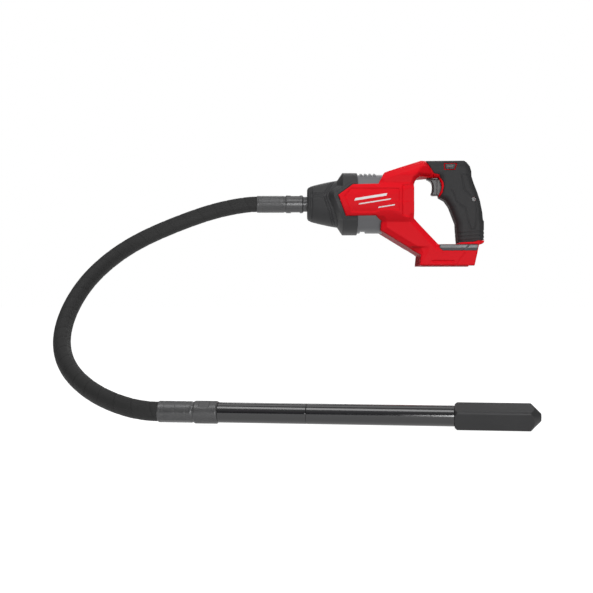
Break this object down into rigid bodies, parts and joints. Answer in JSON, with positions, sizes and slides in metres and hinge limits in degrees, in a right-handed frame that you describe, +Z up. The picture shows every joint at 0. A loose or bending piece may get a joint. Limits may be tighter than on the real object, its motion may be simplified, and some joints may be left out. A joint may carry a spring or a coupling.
{
  "type": "concrete vibrator",
  "caption": "Cordless concrete vibrator: a drive unit with a D handle drives a flexible hose and a rigid wand that ends in a square vibrating head.",
  "frame": {"origin": "middle of the rear grip, on the middle plane of the drive unit", "axes": "+Z up, -X along the drive axis towards the nose, the foot's battery socket opens to -Z and +X"},
  "size_m": [0.6304, 0.5037, 0.3708],
  "materials": {
    "red_shell": "moulded, fine texture",
    "grip_rubber": "moulded, fine texture",
    "boot_rubber": "moulded, smooth",
    "grey_casing": "moulded",
    "cast_nose": "as cast",
    "trim_plastic": "moulded",
    "black_plastic": "moulded",
    "board": "lacquered",
    "copper": "plain",
    "lead_cover": "smooth",
    "core_steel": "stacked sheets",
    "plain_steel": "ground",
    "dark_fitting": "dark oxide, satin",
    "hose_rubber": "fabric impression",
    "gloss_tube": "gloss black",
    "head_steel": "matt black",
    "bronze": "plain"
  },
  "bodies": {
    "drive_unit": {"housing_left": "red_shell", "housing_right": "red_shell", "grip_left": "grip_rubber", "grip_right": "grip_rubber", "motor_casing": "grey_casing", "nose_casting": "cast_nose", "nose_boot": "boot_rubber", "bumper_collar": "boot_rubber", "foot_trim_left": "trim_plastic", "foot_trim_right": "trim_plastic", "housing_screws": "dark_fitting", "nose_screws": "plain_steel", "trigger_spring": "plain_steel", "switch_body": "black_plastic", "control_board": "board", "terminal_block": "black_plastic", "terminal_contacts": "copper", "leads": "lead_cover", "stator": "core_steel", "windings": "copper", "front_bearing": "plain_steel", "rear_bearing": "plain_steel", "hose_nipple": "dark_fitting", "upper_collar": "dark_fitting", "upper_ferrule": "dark_fitting", "hose": "hose_rubber", "hose_liner": "plain_steel", "flex_core": "plain_steel"},
    "trigger": {"trigger": "black_plastic"},
    "lock_button": {"lock_button": "black_plastic"},
    "rotor": {"rotor_core": "core_steel", "motor_shaft": "plain_steel", "fan": "black_plastic", "drive_socket": "plain_steel"},
    "wand": {"lower_ferrule": "dark_fitting", "lower_collar": "dark_fitting", "stem_tube_rear": "gloss_tube", "stem_tube_front": "gloss_tube", "stem_sleeve": "plain_steel", "stem_bushes": "bronze", "head_shell": "head_steel", "head_seal": "bronze", "head_bearings": "plain_steel"},
    "eccentric": {"drive_shaft": "plain_steel", "eccentric_weight": "plain_steel"}
  },
  "joints": [
    {"name": "trigger_pull", "type": "slide", "parent": "drive_unit", "child": "trigger", "axis": [1, 0, 0], "range_m": [0, 0.006], "stiffness_N_per_m": 400, "deforming": ["trigger_spring"]},
    {"name": "lock_slide", "type": "slide", "parent": "drive_unit", "child": "lock_button", "axis": [0, 1, 0], "range_m": [-0.004, 0.004]},
    {"name": "rotor_spin", "type": "hinge", "parent": "drive_unit", "child": "rotor", "pos_m": [-0.1, 0, 0.01], "axis": [-1, 0, 0], "continuous": true},
    {"name": "hose_bend", "type": "hinge", "parent": "drive_unit", "child": "wand", "pos_m": [-0.591, -0.18, -0.17], "axis": [0, 0, 1], "range_deg": [-15, 20], "stiffness_Nm_per_rad": 8, "deforming": ["hose", "hose_liner", "flex_core"]},
    {"name": "eccentric_spin", "type": "hinge", "parent": "wand", "child": "eccentric", "pos_m": [-0.436, -0.371, -0.277], "axis": [0.989, -0.1478, 0], "continuous": true}
  ],
  "couplings": [
    {"joint": "eccentric_spin", "follows": "rotor_spin", "ratio": 1}
  ]
}
